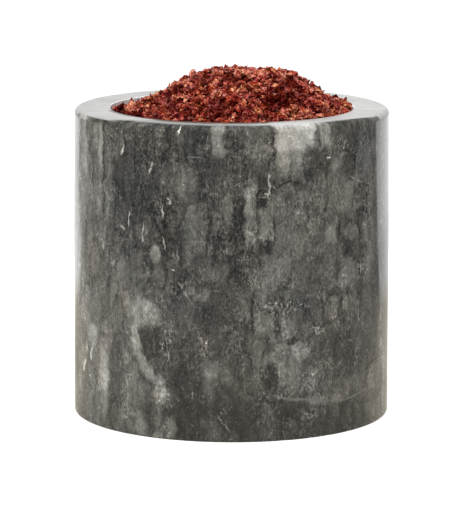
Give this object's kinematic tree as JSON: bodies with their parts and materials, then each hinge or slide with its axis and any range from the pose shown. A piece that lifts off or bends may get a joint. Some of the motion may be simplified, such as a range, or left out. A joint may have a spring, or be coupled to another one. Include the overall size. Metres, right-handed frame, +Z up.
{
  "type": "salt cellar",
  "caption": "Round straight-sided stone cellar with a thick flat rim and a round bowl, heaped with loose dried chilli flakes that lift out.",
  "frame": {"origin": "centre of the flat face that the cup stands on", "axes": "+Z up along the cup's axis, -Y towards the side that the picture shows, +X to that view's right"},
  "size_m": [0.076, 0.076, 0.0834],
  "materials": {
    "marble": "polished",
    "packed_flakes": "satin",
    "dark_skin": "satin",
    "red_skin": "satin",
    "orange_flesh": "satin",
    "pale_seed": "satin"
  },
  "bodies": {
    "cup": {"marble_cup": "marble"},
    "fill": {"flake_bed": "packed_flakes", "dark_flakes": "dark_skin", "red_flakes": "red_skin", "orange_flakes": "orange_flesh", "pale_bits": "pale_seed"}
  },
  "joints": [
    {"name": "fill_lift", "type": "slide", "parent": "cup", "child": "fill", "axis": [0, 0, 1], "range_m": [0, 0.068]}
  ]
}
